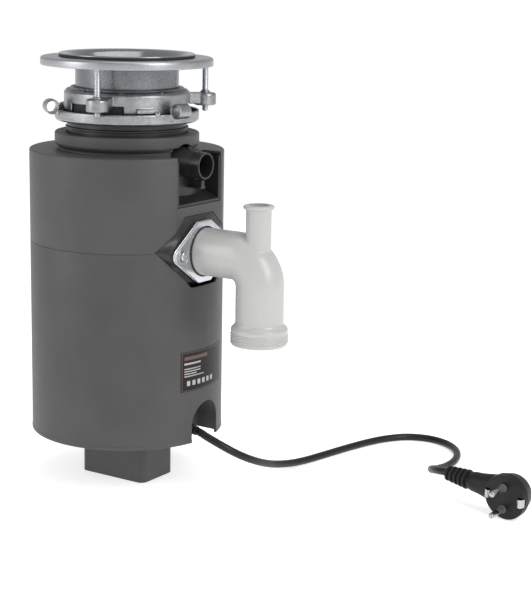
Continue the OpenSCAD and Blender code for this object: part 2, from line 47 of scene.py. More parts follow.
# ------------------------------------------------------------------ camera
cam_data = bpy.data.cameras.new("camera")
cam_data.lens = 97.04
cam_data.sensor_width = 36.0
cam_data.clip_start = 0.05
cam_data.clip_end = 200.0
cam = bpy.data.objects.new("camera", cam_data)
scene.collection.objects.link(cam)
right = Vector((0.83645, 0.54781, 0.01742)).normalized()
forward = Vector((-0.53249, 0.81977, -0.21085)).normalized()
up = right.cross(forward).normalized()
right = forward.cross(up).normalized()
cam.matrix_world = Matrix.Translation((0.84466, -1.08103, 0.45091)) @ Matrix((right, up, -forward)).transposed().to_4x4()
scene.camera = cam
scene.view_settings.view_transform = "Standard"
scene.view_settings.look = "None"
scene.view_settings.exposure = 0.0
scene.view_settings.gamma = 1.0


# ------------------------------------------------------------------ materials
def node_mat(name):
    m = bpy.data.materials.new(name)
    m.use_nodes = True
    nt = m.node_tree
    nt.nodes.clear()
    out = nt.nodes.new("ShaderNodeOutputMaterial")
    bsdf = nt.nodes.new("ShaderNodeBsdfPrincipled")
    nt.links.new(bsdf.outputs[0], out.inputs["Surface"])
    return m, nt, bsdf


def noise(nt, vector, scale, detail=3.0, rough=0.55):
    n = nt.nodes.new("ShaderNodeTexNoise")
    n.inputs["Scale"].default_value = scale
    n.inputs["Detail"].default_value = detail
    n.inputs["Roughness"].default_value = rough
    nt.links.new(vector, n.inputs["Vector"])
    return n


def spread(nt, value, low, high, a=0.35, b=0.65):
    n = nt.nodes.new("ShaderNodeMapRange")
    n.inputs["From Min"].default_value = a
    n.inputs["From Max"].default_value = b
    n.inputs["To Min"].default_value = low
    n.inputs["To Max"].default_value = high
    nt.links.new(value, n.inputs["Value"])
    return n.outputs["Result"]


def finish(name, dark, light, rough=(0.35, 0.5), metal=0.0, blotch=60.0, grain=1800.0, bump=0.15, depth=0.0001,
           coat=0.0, specular=0.5, turned=None, stretch=(1, 1, 1), round_edges=0.0, fleck=0.0, sss=0.0, wear=0.0):
    """A procedural surface: two tones mixed by broad and fine noise, with grain in its roughness and bump.
    turned = strength of fine lathe lines about Z; stretch draws the grain out along an axis; wear lightens convex edges."""
    m, nt, bsdf = node_mat(name)
    tc = nt.nodes.new("ShaderNodeTexCoord")
    mp = nt.nodes.new("ShaderNodeMapping")
    mp.inputs["Scale"].default_value = stretch
    nt.links.new(tc.outputs["Object"], mp.inputs["Vector"])
    broad = noise(nt, tc.outputs["Object"], blotch, 4.0)
    fine = noise(nt, mp.outputs["Vector"], grain, 2.0)
    mix = nt.nodes.new("ShaderNodeMix")
    mix.data_type = "RGBA"
    mix.inputs["A"].default_value = (*dark, 1)
    mix.inputs["B"].default_value = (*light, 1)
    add = nt.nodes.new("ShaderNodeMath")
    add.operation = "MULTIPLY_ADD"
    add.inputs[1].default_value = 0.5
    nt.links.new(spread(nt, broad.outputs["Fac"], 0.0, 1.0), add.inputs[0])
    fine_value = spread(nt, fine.outputs["Fac"], 0.0, 0.5, 0.3, 0.7)
    nt.links.new(fine_value, add.inputs[2])
    nt.links.new(add.outputs[0], mix.inputs["Factor"])
    colour = mix.outputs["Result"]
    if fleck:
        vor = nt.nodes.new("ShaderNodeTexVoronoi")
        vor.inputs["Scale"].default_value = 1400.0
        nt.links.new(tc.outputs["Object"], vor.inputs["Vector"])
        sel = spread(nt, vor.outputs["Distance"], fleck, 0.0, 0.06, 0.2)
        fm = nt.nodes.new("ShaderNodeMix")
        fm.data_type = "RGBA"
        fm.inputs["B"].default_value = (0.5, 0.5, 0.5, 1)
        nt.links.new(sel, fm.inputs["Factor"])
        nt.links.new(colour, fm.inputs["A"])
        colour = fm.outputs["Result"]
    if wear:
        geo = nt.nodes.new("ShaderNodeNewGeometry")
        wf = spread(nt, geo.outputs["Pointiness"], 0.0, wear, 0.505, 0.54)
        wm = nt.nodes.new("ShaderNodeMix")
        wm.data_type = "RGBA"
        wm.inputs["B"].default_value = (*[min(1.0, c * 2.2 + 0.03) for c in light], 1)
        nt.links.new(wf, wm.inputs["Factor"])
        nt.links.new(colour, wm.inputs["A"])
        colour = wm.outputs["Result"]
    nt.links.new(colour, bsdf.inputs["Base Color"])
    height = fine.outputs["Fac"]
    rough_value = spread(nt, fine.outputs["Fac"], rough[0], rough[1])
    if turned:
        sep = nt.nodes.new("ShaderNodeSeparateXYZ")
        nt.links.new(tc.outputs["Object"], sep.inputs[0])
        flat = nt.nodes.new("ShaderNodeCombineXYZ")
        nt.links.new(sep.outputs["X"], flat.inputs["X"])
        nt.links.new(sep.outputs["Y"], flat.inputs["Y"])
        length = nt.nodes.new("ShaderNodeVectorMath")
        length.operation = "LENGTH"
        nt.links.new(flat.outputs[0], length.inputs[0])
        cyl = nt.nodes.new("ShaderNodeCombineXYZ")
        nt.links.new(length.outputs["Value"], cyl.inputs["X"])
        nt.links.new(sep.outputs["Z"], cyl.inputs["Z"])
        lines = noise(nt, cyl.outputs[0], 2600.0, 3.0)
        m2 = nt.nodes.new("ShaderNodeMix")
        m2.inputs["Factor"].default_value = turned
        nt.links.new(height, m2.inputs["A"])
        nt.links.new(lines.outputs["Fac"], m2.inputs["B"])
        height = m2.outputs["Result"]
        rough_value = spread(nt, height, rough[0], rough[1])
    nt.links.new(rough_value, bsdf.inputs["Roughness"])
    bsdf.inputs["Metallic"].default_value = metal
    bsdf.inputs["Specular IOR Level"].default_value = specular
    if coat:
        bsdf.inputs["Coat Weight"].default_value = coat
        bsdf.inputs["Coat Roughness"].default_value = 0.22
    if sss:
        bsdf.inputs["Subsurface Weight"].default_value = sss
        bsdf.inputs["Subsurface Radius"].default_value = (1.0, 0.9, 0.8)
        bsdf.inputs["Subsurface Scale"].default_value = 0.0015
    b = nt.nodes.new("ShaderNodeBump")
    b.inputs["Strength"].default_value = bump
    b.inputs["Distance"].default_value = depth
    nt.links.new(height, b.inputs["Height"])
    if round_edges:
        bev = nt.nodes.new("ShaderNodeBevel")
        bev.samples = 6
        bev.inputs["Radius"].default_value = round_edges
        nt.links.new(bev.outputs[0], b.inputs["Normal"])
    nt.links.new(b.outputs[0], bsdf.inputs["Normal"])
    return m


M = {
    "body_plastic": finish("m_body", (0.044, 0.0434, 0.0426), (0.063, 0.0622, 0.0612), rough=(0.42, 0.56), blotch=22, grain=1500, bump=0.12,
                           depth=0.00012, round_edges=0.0009, fleck=0.10, specular=0.42),
    "black_plastic": finish("m_black", (0.009, 0.009, 0.009), (0.018, 0.0176, 0.0172), rough=(0.3, 0.46), blotch=35, grain=900, bump=0.2,
                            depth=0.00012, round_edges=0.0006, specular=0.5),
    "flange_steel": finish("m_flange", (0.24, 0.247, 0.262), (0.36, 0.37, 0.39), rough=(0.13, 0.24), metal=1.0, blotch=30, grain=700, bump=0.05,
                           depth=0.00005, turned=0.8),
    # tube_steel is darker than flange_steel; on the throat below the flange this darkness is painted shade
    "tube_steel": finish("m_tube", (0.11, 0.113, 0.122), (0.24, 0.245, 0.26), rough=(0.22, 0.34), metal=1.0, blotch=18, grain=700, bump=0.05,
                         depth=0.00005, turned=0.7),
    "mount_alloy": finish("m_alloy", (0.22, 0.226, 0.236), (0.40, 0.408, 0.422), rough=(0.28, 0.44), metal=1.0, blotch=90, grain=650, bump=0.5,
                          depth=0.00025, round_edges=0.0004),
    "satin_alloy": finish("m_satin_alloy", (0.31, 0.318, 0.332), (0.44, 0.448, 0.464), rough=(0.3, 0.42), metal=1.0, blotch=40, grain=900, bump=0.2,
                          depth=0.00012, turned=0.4, round_edges=0.0004),
    "zinc_steel": finish("m_zinc", (0.50, 0.51, 0.54), (0.68, 0.69, 0.72), rough=(0.24, 0.38), metal=1.0, blotch=120, grain=900, bump=0.08,
                         depth=0.0001, round_edges=0.0003),
    "rubber_black": finish("m_rubber", (0.012, 0.012, 0.0125), (0.022, 0.022, 0.023), rough=(0.5, 0.68), blotch=60, grain=1300, bump=0.25,
                           depth=0.0001, round_edges=0.0004, specular=0.35),
    "pipe_plastic": finish("m_pipe", (0.414, 0.411, 0.401), (0.428, 0.425, 0.415), rough=(0.25, 0.28), blotch=24, grain=1500, bump=0.015,
                           depth=0.00005, round_edges=0.0005, specular=0.5),
    "cast_housing": finish("m_cast", (0.35, 0.35, 0.36), (0.5, 0.5, 0.51), rough=(0.4, 0.6), metal=1.0, blotch=60, grain=500, bump=0.6,
                           depth=0.0003, round_edges=0.0006),
    "grind_steel": finish("m_grind", (0.5, 0.51, 0.53), (0.7, 0.71, 0.73), rough=(0.2, 0.36), metal=1.0, blotch=50, grain=1200, bump=0.15,
                          depth=0.0001, turned=0.5, round_edges=0.0003),
    "bearing_steel": finish("m_bearing", (0.55, 0.56, 0.58), (0.72, 0.73, 0.75), rough=(0.1, 0.2), metal=1.0, blotch=80, grain=2000, bump=0.05,
                            depth=0.00005, turned=0.6),
    "motor_can": finish("m_can", (0.33, 0.34, 0.36), (0.46, 0.47, 0.49), rough=(0.3, 0.45), metal=1.0, blotch=40, grain=900, bump=0.2,
                        depth=0.0001, round_edges=0.0004),
    "ferrite": finish("m_ferrite", (0.035, 0.035, 0.038), (0.06, 0.06, 0.063), rough=(0.55, 0.75), blotch=120, grain=1500, bump=0.3,
                      round_edges=0.0004),
    "laminations": finish("m_laminations", (0.18, 0.18, 0.19), (0.36, 0.36, 0.38), rough=(0.3, 0.45), metal=1.0, blotch=40, grain=400,
                          stretch=(0.05, 0.05, 5), bump=0.5, depth=0.0002),
    "copper": finish("m_copper", (0.55, 0.22, 0.09), (0.85, 0.42, 0.2), rough=(0.25, 0.4), metal=1.0, blotch=60, grain=900,
                     stretch=(1, 1, 0.15), bump=0.6, depth=0.0003),
    "carbon": finish("m_carbon", (0.02, 0.02, 0.021), (0.05, 0.05, 0.052), rough=(0.5, 0.7), blotch=200, grain=2500, bump=0.25),
    "foam": finish("m_foam", (0.03, 0.03, 0.032), (0.07, 0.07, 0.073), rough=(0.85, 1.0), blotch=160, grain=900, bump=0.9, depth=0.0005,
                   specular=0.2),
    "circuit_board": finish("m_board", (0.01, 0.08, 0.03), (0.02, 0.14, 0.05), rough=(0.3, 0.45), blotch=150, grain=900, bump=0.15,
                            round_edges=0.0002),
    "button_red": finish("m_red", (0.42, 0.02, 0.015), (0.55, 0.035, 0.025), rough=(0.28, 0.4), blotch=120, grain=1500, bump=0.08,
                         round_edges=0.0005),
    "terminal_cream": finish("m_cream", (0.66, 0.62, 0.5), (0.76, 0.72, 0.6), rough=(0.35, 0.5), blotch=80, grain=1200, bump=0.1,
                             round_edges=0.0004),
    "cord_black": finish("m_cord", (0.007, 0.007, 0.0073), (0.012, 0.012, 0.0124), rough=(0.3, 0.42), blotch=50, grain=1100, bump=0.18,
                         depth=0.0001, specular=0.3),
    "plug_black": finish("m_plug", (0.007, 0.007, 0.0073), (0.013, 0.013, 0.0135), rough=(0.36, 0.52), blotch=60, grain=1300, bump=0.3,
                         depth=0.00012, round_edges=0.0004, specular=0.22),
    "pin_nickel": finish("m_pin", (0.34, 0.335, 0.32), (0.5, 0.49, 0.47), rough=(0.14, 0.26), metal=1.0, blotch=100, grain=1600, bump=0.08,
                         round_edges=0.0003),
    "pin_sleeve": finish("m_sleeve", (0.05, 0.05, 0.052), (0.09, 0.09, 0.092), rough=(0.35, 0.5), blotch=100, grain=1600, bump=0.08),
    "label_black": finish("m_label", (0.009, 0.008, 0.008), (0.015, 0.013, 0.013), rough=(0.35, 0.5), blotch=60, grain=1300, bump=0.06, specular=0.2),
    "label_print": finish("m_print", (0.34, 0.34, 0.33), (0.46, 0.46, 0.45), rough=(0.35, 0.5), blotch=200, grain=2200, bump=0.05),
    "label_frame": finish("m_frame", (0.085, 0.045, 0.038), (0.13, 0.068, 0.055), rough=(0.35, 0.5), blotch=200, grain=2200, bump=0.05),
    "dark_inside": finish("m_dark", (0.006, 0.006, 0.006), (0.012, 0.012, 0.012), rough=(0.6, 0.8), blotch=60, grain=900, bump=0.2),
}


# ------------------------------------------------------------------ shape helpers (millimetres until made())
def rounded(points, steps=5, closed=True):
    """Corners given a third number are turned into arcs of that radius."""
    out = []
    n = len(points)
    for i, p in enumerate(points):
        cur = Vector(p[:2])
        f = p[2] if len(p) > 2 else 0
        if f <= 0 or (not closed and i in (0, n - 1)):
            out.append(cur)
            continue
        da = Vector(points[i - 1][:2]) - cur
        db = Vector(points[(i + 1) % n][:2]) - cur
        la, lb = da.length, db.length
        da.normalize()
        db.normalize()
        ang = math.acos(max(-1.0, min(1.0, da.dot(db))))
        if ang > math.pi - 0.02:
            out.append(cur)
            continue
        t = min(f / math.tan(ang / 2), 0.49 * la, 0.49 * lb)
        f = t * math.tan(ang / 2)
        c = cur + (da + db).normalized() * (f / math.sin(ang / 2))
        v0, v1 = cur + da * t - c, cur + db * t - c
        total = math.acos(max(-1.0, min(1.0, v0.normalized().dot(v1.normalized()))))
        sign = 1 if v0.x * v1.y - v0.y * v1.x > 0 else -1
        for k in range(steps + 1):
            th = sign * total * k / steps
            out.append(c + Vector((v0.x * math.cos(th) - v0.y * math.sin(th), v0.x * math.sin(th) + v0.y * math.cos(th))))
    return out


def ring_faces(bm, a, b, mat=0):
    n = len(a)
    for k in range(n):
        quad = [a[k], a[(k + 1) % n], b[(k + 1) % n], b[k]]
        quad = [v for i, v in enumerate(quad) if v not in quad[:i]]
        if len(quad) >= 3:
            f = bm.faces.new(quad)
            f.material_index = mat


def lathe(bm, profile, segs=144, steps=5, mat=0):
    """A closed outline of (radius, z) turned round Z."""
    prof = rounded(profile, steps)
    rings = []
    for r, z in prof:
        if r < 1e-6:
            v = bm.verts.new((0, 0, z))
            rings.append([v] * segs)
        else:
            rings.append([bm.verts.new((r * math.cos(2 * math.pi * k / segs), r * math.sin(2 * math.pi * k / segs), z)) for k in range(segs)])
    for i in range(len(rings)):
        a, b = rings[i], rings[(i + 1) % len(rings)]
        if a[0] is a[1] and b[0] is b[1]:
            continue
        ring_faces(bm, a, b, mat)
    bmesh.ops.recalc_face_normals(bm, faces=bm.faces)
    return bm


def new_lathe(profile, segs=144, steps=5):
    return lathe(bmesh.new(), profile, segs, steps)


def loft(bm, loops, cap=True, mat=0):
    """Closed loops of equal length joined one to the next, with the two ends capped."""
    rings = [[bm.verts.new(p) for p in loop] for loop in loops]
    for a, b in zip(rings, rings[1:]):
        ring_faces(bm, a, b, mat)
    if cap:
        for r in (rings[0], rings[-1]):
            f = bm.faces.new(r)
            f.material_index = mat
    bmesh.ops.recalc_face_normals(bm, faces=bm.faces)
    return bm


def put(bm, matrix):
    bmesh.ops.transform(bm, matrix=matrix, verts=bm.verts)
    return bm


def along_x(bm, x=0.0, y=0.0, z=0.0):
    """Turns a shape made about Z so that its axis runs along X."""
    return put(bm, Matrix.Translation((x, y, z)) @ Matrix.Rotation(math.radians(90), 4, "Y"))


def polar(r, a, z=0.0):
    return Matrix.Rotation(math.radians(a), 4, "Z") @ Matrix.Translation((r, 0, z))


def temp(bm, name="temp"):
    me = bpy.data.meshes.new(name)
    bmesh.ops.recalc_face_normals(bm, faces=bm.faces)
    bm.to_mesh(me)
    bm.free()
    ob = bpy.data.objects.new(name, me)
    scene.collection.objects.link(ob)
    return ob


def bake(ob):
    bpy.context.view_layer.update()
    ev = ob.evaluated_get(bpy.context.evaluated_depsgraph_get())
    me = bpy.data.meshes.new_from_object(ev)
    ob.modifiers.clear()
    old = ob.data
    ob.data = me
    bpy.data.meshes.remove(old)
    return ob


def drop(ob):
    me = ob.data
    bpy.data.objects.remove(ob)
    bpy.data.meshes.remove(me)


def carve(ob, *cutters, op="DIFFERENCE"):
    for c in cutters:
        m = ob.modifiers.new("b", "BOOLEAN")
        m.operation = op
        m.solver = "EXACT"
        m.object = c
        bake(ob)
        drop(c)
    return ob


def melt(ob, voxel=0.5, iterations=6, factor=0.5):
    """Joins overlapping solids into one skin with softened edges, as a casting or moulding has."""
    m = ob.modifiers.new("r", "REMESH")
    m.mode = "VOXEL"
    m.voxel_size = voxel
    m.adaptivity = 0.0
    s = ob.modifiers.new("s", "SMOOTH")
    s.factor = factor
    s.iterations = iterations
    return bake(ob)


def made(ob, name, material, body, replaces=(), angle=38, extra=()):
    """A temporary millimetre object becomes a finished piece in metres."""
    ob.name = name
    me = ob.data
    me.name = name
    me.transform(Matrix.Scale(MM, 4))
    index = [p.material_index for p in me.polygons]
    me.materials.clear()
    for m in (material, *extra):
        me.materials.append(M[m])
    for p, i in zip(me.polygons, index):
        p.material_index = min(i, len(extra))
    for p in me.polygons:
        p.use_smooth = True
    me.set_sharp_from_angle(angle=math.radians(angle))
    me.update()
    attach(ob, body)
    if replaces:
        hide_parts(*replaces)
    return ob


def joined(parts):
    """Several closed shapes in one temporary object."""
    b = bmesh.new()
    for part in parts:
        me = bpy.data.meshes.new("t")
        bmesh.ops.recalc_face_normals(part, faces=part.faces)
        part.to_mesh(me)
        part.free()
        b.from_mesh(me)
        bpy.data.meshes.remove(me)
    return temp(b)


def arc_lathe(profile, a0, a1, segs=24, steps=3):
    """A closed outline of (radius, z) turned from angle a0 to a1 in degrees, with flat ends."""
    prof = rounded(profile, steps)
    turns = [math.radians(a0 + (a1 - a0) * i / segs) for i in range(segs + 1)]
    return loft(bmesh.new(), [[(q.x * math.cos(t), q.x * math.sin(t), q.y) for q in prof] for t in turns])


def box_bm(x1, x2, y1, y2, z1, z2):
    bm = bmesh.new()
    bmesh.ops.create_cube(bm, size=1.0)
    return put(bm, Matrix.Translation(((x1 + x2) / 2, (y1 + y2) / 2, (z1 + z2) / 2)) @ Matrix.Diagonal((x2 - x1, y2 - y1, z2 - z1, 1)))


def cyl_bm(r, z1, z2, segs=64, edge=0.0):
    return new_lathe([(0, z1), (r, z1, edge), (r, z2, edge), (0, z2)], segs, 4)


def extrude_x(outline, x1, x2, edge=0.0, steps=3):
    """A closed (y, z) outline pushed along X, with rolled edges."""
    pts = [Vector(p) for p in outline]
    area = sum(a.x * b.y - b.x * a.y for a, b in zip(pts, pts[1:] + pts[:1]))
    if area < 0:
        pts.reverse()
    n = len(pts)

    def inset(d):
        res = []
        for i in range(n):
            e1 = (pts[i] - pts[i - 1]).normalized()
            e2 = (pts[(i + 1) % n] - pts[i]).normalized()
            n1, n2 = Vector((-e1.y, e1.x)), Vector((-e2.y, e2.x))
            k = 1 + n1.dot(n2)
            res.append(pts[i] + (n1 + n2) * (d / max(k, 0.3)))
        return res

    loops = []
    if edge:
        for k in range(steps + 1):
            th = math.pi / 2 * k / steps
            loops.append((x1 + edge * (1 - math.sin(th)), inset(edge * (1 - math.cos(math.pi / 2 - th)))))
        for k in range(steps + 1):
            th = math.pi / 2 * k / steps
            loops.append((x2 - edge * (1 - math.cos(math.pi / 2 - th)) if False else x2 - edge + edge * math.sin(th), inset(edge * (1 - math.cos(th)))))
        loops = sorted(loops, key=lambda l: l[0])
    else:
        loops = [(x1, pts), (x2, pts)]
    return loft(bmesh.new(), [[(x, p.x, p.y) for p in ps] for x, ps in loops])


def screw_thread(bm, r_out, r_in, pitch, z1, z2, segs=28, per=6, taper=1.0):
    """A rod about Z with a helical thread and chamfered ends."""
    n = int((z2 - z1) / pitch * per)
    rings = [[bm.verts.new((0, 0, z1))] * segs]
    for i in range(n + 1):
        z = z1 + (z2 - z1) * i / n
        fade = min(1.0, (z - z1) / taper, (z2 - z) / taper)
        loop = []
        for k in range(segs):
            ph = (z / pitch - k / segs) % 1.0
            tri = 1 - abs(2 * ph - 1)
            r = r_in + (r_out - r_in) * min(1.0, tri * 1.35)
            r = min(r, r_in - 0.35 + (r_out - r_in + 0.35) * max(0.0, fade))
            a = 2 * math.pi * k / segs
            loop.append(bm.verts.new((r * math.cos(a), r * math.sin(a), z)))
        rings.append(loop)
    rings.append([bm.verts.new((0, 0, z2))] * segs)
    for a, b in zip(rings, rings[1:]):
        ring_faces(bm, a, b)
    return bm


# ------------------------------------------------------------------ the cord
ROUTE = [[78, -4, 51], [90, -3, 46.5], [101, 0.5, 41], [109, 8, 34.5], [113.5, 19, 28], [115, 32, 22], [114.5, 46, 16.5], [113.5, 61, 11.5], [114, 77, 7.5],
         [116, 94, 4.8], [119, 112, 3.6], [123, 132, 3.4], [127, 152, 3.4], [131.5, 172, 3.4], [137, 192, 3.4], [145, 211, 3.4], [158, 227, 3.4],
         [176, 234, 3.4], [195, 231, 3.4], [211, 220, 3.4], [222, 204, 3.4], [228, 185, 3.4], [229.5, 165, 4.2], [231, 146, 7.6], [235, 128, 12.8],
         [243.5, 112.5, 18.2], [253.5, 102.5, 22], [265, 97.7, 23.5]]
CORD_D = 6.6
START_DIR = Vector((math.cos(math.radians(2.7)) * math.cos(math.radians(10.8)), math.sin(math.radians(2.7)) * math.cos(math.radians(10.8)), -math.sin(math.radians(10.8))))
END_DIR = Vector((0.989, -0.139, -0.052)).normalized()


def cord_curve():
    pts = [Vector(p) for p in ROUTE]
    n = len(pts)
    cd = bpy.data.curves.new("mains_cord", "CURVE")
    cd.dimensions = "3D"
    cd.resolution_u = 10
    cd.bevel_depth = CORD_D / 2 * MM
    cd.bevel_resolution = 7
    cd.use_fill_caps = True
    sp = cd.splines.new("BEZIER")
    sp.bezier_points.add(n - 1)
    tans = [START_DIR] + [(pts[i + 1] - pts[i - 1]).normalized() for i in range(1, n - 1)] + [END_DIR]
    total = 0.0
    handles = []
    for i, (p, t) in enumerate(zip(pts, tans)):
        back = (p - pts[i - 1]).length / 3 if i else 2.0
        ahead = (pts[i + 1] - p).length / 3 if i < n - 1 else 2.0
        bp = sp.bezier_points[i]
        bp.handle_left_type = bp.handle_right_type = "FREE"
        bp.co = p * MM
        bp.handle_left = (p - t * back) * MM
        bp.handle_right = (p + t * ahead) * MM
        handles.append((p - t * back, p + t * ahead))
    for i in range(n - 1):
        a, b, c, d = pts[i], handles[i][1], handles[i + 1][0], pts[i + 1]
        prev = a
        for k in range(1, 21):
            u = k / 20
            q = a * (1 - u) ** 3 + b * 3 * u * (1 - u) ** 2 + c * 3 * u * u * (1 - u) + d * u ** 3
            total += (q - prev).length
            prev = q
    ob = bpy.data.objects.new("mains_cord", cd)
    scene.collection.objects.link(ob)
    cd.materials.append(M["cord_black"])
    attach(ob, "housing")
    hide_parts("power_cord")
    return ob, total * MM


mains_cord, CORD_LENGTH = cord_curve()
PLUG = Matrix.Translation((326.5, 77.5, 19)) @ (Matrix.Rotation(math.radians(172), 4, "Z") @ Matrix.Rotation(math.radians(-3), 4, "Y") @ Matrix.Rotation(math.radians(-6), 4, "X"))


# ------------------------------------------------------------------ sink mount
def sink_mount():
    b = new_lathe([(57, 364.8, 0.3), (57, 365.6, 0.35), (56, 366, 0.6), (51.5, 365.6, 5), (48, 363.6, 4), (44.4, 359.6, 4), (42, 355.5, 4), (42, 322, 0.4),
                   (43.5, 322, 0.4), (43.5, 356.2, 3), (46, 359.6, 4), (49, 362.4, 4), (52, 364.6, 2)], 192, 6)
    flange = temp(b)
    # the throat tube's outer wall below the flange gets the rougher tube steel: its higher roughness is the drawn
    # finish, and its darker colour is painted shade under the flange
    for q in flange.data.polygons:
        if 43.2 < math.hypot(q.center.x, q.center.y) < 43.8 and q.center.z < 356:
            q.material_index = 1
    made(flange, "sink_flange_polished", "flange_steel", "housing", ["sink_flange"], angle=50, extra=("tube_steel",))
    b = new_lathe([(50.7, 362.8, 0.5), (50.7, 357.6, 0.3), (52.2, 357.6, 0.3), (52.2, 360.8, 0.8), (70.4, 360.8, 0.8), (70.4, 356, 0.5), (72.4, 356, 0.5),
                   (72.4, 362.8, 2.2)], 192, 6)
    made(temp(b), "backing_flange_cast", "satin_alloy", "backing_flange", ["backing_flange"], angle=50)
    # threaded clamp screws
    b = bmesh.new()
    for k in range(3):
        one = screw_thread(bmesh.new(), 2.75, 2.12, 1.25, 317, 360.5)
        put(one, polar(67, 47.2 + 120 * k))
        me = bpy.data.meshes.new("t")
        one.to_mesh(me)
        one.free()
        b.from_mesh(me)
        bpy.data.meshes.remove(me)
    made(temp(b), "clamp_screws_threaded", "zinc_steel", "clamp_screws", ["mount_screws"], angle=60)
    # the cast mounting ring: a full upper band, a skirt broken by three windows, and three screw lugs
    parts = [new_lathe([(43.9, 335.2), (47.3, 335.2), (47.6, 334.2), (49.8, 334.2), (51.3, 332.8), (51.3, 325.4), (52.9, 325.4), (52.9, 333.6, 1.5), (50.6, 336, 1.5),
                        (48.2, 336.4, 0.6), (47.5, 338, 1), (45.5, 338, 1), (43.9, 337.2, 0.5)], 180, 4)]
    for k in range(3):
        parts.append(arc_lathe([(51.3, 319), (52.9, 319), (52.9, 326), (51.3, 326)], -55 + 120 * k, 8 + 120 * k))
        parts.append(put(box_bm(51.6, 67, -7.5, 7.5, 323.5, 332.5), Matrix.Rotation(math.radians(47.2 + 120 * k), 4, "Z")))
        parts.append(put(new_lathe([(0, 322), (9.3, 322, 1.2), (9.3, 332.5, 2.0), (0, 332.5)], 72, 4), polar(67, 47.2 + 120 * k)))
        parts.append(put(new_lathe([(0, 330), (4.2, 330), (4.2, 333.2), (3.4, 334.5), (0, 334.5)], 40, 2), polar(67, 47.2 + 120 * k)))
        parts.append(arc_lathe([(52.2, 320), (57.5, 320), (57.5, 323.2), (52.2, 323.2)], -44 + 120 * k, -28 + 120 * k, 8))
    for k in range(9):
        parts.append(put(new_lathe([(0, 334.4), (1.5, 334.4), (1.5, 336.6, 0.6), (0, 336.9)], 20, 3), polar(49.4, 40 * k + 22)))
    ring = melt(joined(parts), 0.42, 5)
    carve(ring, joined([put(cyl_bm(2.8, 300, 350, 40), polar(67, 47.2 + 120 * k)) for k in range(3)]))
    made(ring, "mounting_ring_cast", "mount_alloy", "housing", ["mounting_ring"], angle=60)


def lock_ring():
    parts = [new_lathe([(46.9, 312.7), (54.8, 312.7, 0.8), (55.6, 310.9, 0.8), (57.2, 309.8, 0.9), (59.3, 310.2, 0.9), (60.6, 311.8, 1), (60.6, 318.6, 0.5), (60, 319.4, 0.4),
                        (59.2, 319.4), (58.9, 318.8), (58.9, 312.8, 0.5), (58.2, 311.7), (57.4, 311.6), (56.8, 312.5), (56.4, 314.1), (46.9, 314.1)], 192, 4)]
    for k in range(3):
        R = Matrix.Rotation(math.radians(-9 + 120 * k), 4, "Z")
        # a strap rolled into a loop, its root on the dish
        curl = put(new_lathe([(4.8, -6, 0.3), (6.2, -6, 0.5), (6.2, 7, 0.5), (4.8, 7, 0.3)], 64, 3), Matrix.Rotation(math.radians(90), 4, "X"))
        parts.append(put(curl, R @ Matrix.Translation((64.6, 0, 321.8))))
        parts.append(put(box_bm(59.2, 61, -8, 7, 314, 319.4), R))
        # broken teeth on the rim
        for a, h, w in ((-29.0, 320.9, 0.7), (-27.6, 320.2, 0.5), (-26.2, 321.3, 0.6)):
            parts.append(put(box_bm(59.3, 60.7, -w, w, 317.2, h), Matrix.Rotation(math.radians(a + 120 * k), 4, "Z")))
    ring = melt(joined(parts), 0.42, 3)
    made(ring, "lock_ring_cast", "mount_alloy", "lock_ring", ["lock_ring"], angle=60)


# ------------------------------------------------------------------ body shells
OZ = 206.3
HEX = [(-48.8, 209.8), (-20, 236.8), (20, 236.8), (48.8, 209.8), (17.5, 177.8), (-17.5, 177.8)]


def shells():
    outer = temp(new_lathe([(0, 209.0), (82.3, 209.0, 0.15), (82.3, 286.2, 1.3), (0, 286.2)], 256, 5))
    carve(outer, temp(box_bm(-120, 75.4, -120, 120, 150, 300)), op="INTERSECT")
    hollow = temp(cyl_bm(80.1, 200, 283.8, 256))
    carve(hollow, temp(box_bm(-120, 73.4, -120, 120, 150, 300)), op="INTERSECT")
    carve(outer, hollow)
    collar = temp(new_lathe([(53.3, 284.5), (57.4, 284.5), (57.4, 287.6, 0.6), (60.4, 290.2, 0.6), (61, 291.6, 0.6), (61, 299.4, 0.7), (60.2, 300.5, 0.5), (56.2, 300.5, 0.2),
                             (55.6, 299.9, 0.2), (54.9, 300.5, 0.2), (51, 300.5, 0.4), (51, 298.3), (58.6, 298.3), (58.6, 292.2), (53.3, 287.4)], 256, 4))
    carve(outer, collar, op="UNION")
    carve(outer, temp(cyl_bm(53.3, 200, 287.2, 128)))
    carve(outer, temp(extrude_x(HEX, 60, 90)))
    carve(outer, temp(box_bm(56.6, 100, -30.5, 30.5, 244.8, 291)))
    carve(outer, temp(along_x(cyl_bm(16.4, 50, 90, 72), 0, 0, 277.5)))
    made(outer, "upper_cover_moulded", "body_plastic", "housing", ["upper_cover"], angle=32)

    low = temp(new_lathe([(80.1, 43.6, 0.4), (82.6, 43.6, 0.7), (82.6, 46.2, 0.3), (82.3, 46.9, 0.3), (82.3, 208.85, 0.15), (80.1, 208.85)], 256, 4))
    lip = temp(new_lathe([(79.9, 204), (80.3, 204), (80.3, 205.5), (79.9, 206.8), (79.9, 213), (78.6, 213), (78.6, 203), (79.3, 202)], 256, 1))
    carve(lip, temp(box_bm(60, 100, -54, 54, 190, 220)))
    carve(low, temp(extrude_x(HEX, 60, 90)))
    arch = extrude_x([(3.5 + 19 * math.cos(math.radians(t)), 58 + 19 * math.sin(math.radians(t))) for t in range(0, 181, 5)] + [(-15.5, 30), (22.5, 30)], 56, 100)
    carve(low, temp(arch))
    made(low, "lower_shell_moulded", "body_plastic", "housing", ["lower_shell"], angle=32)
    made(lip, "lower_shell_lip", "body_plastic", "housing", angle=32)


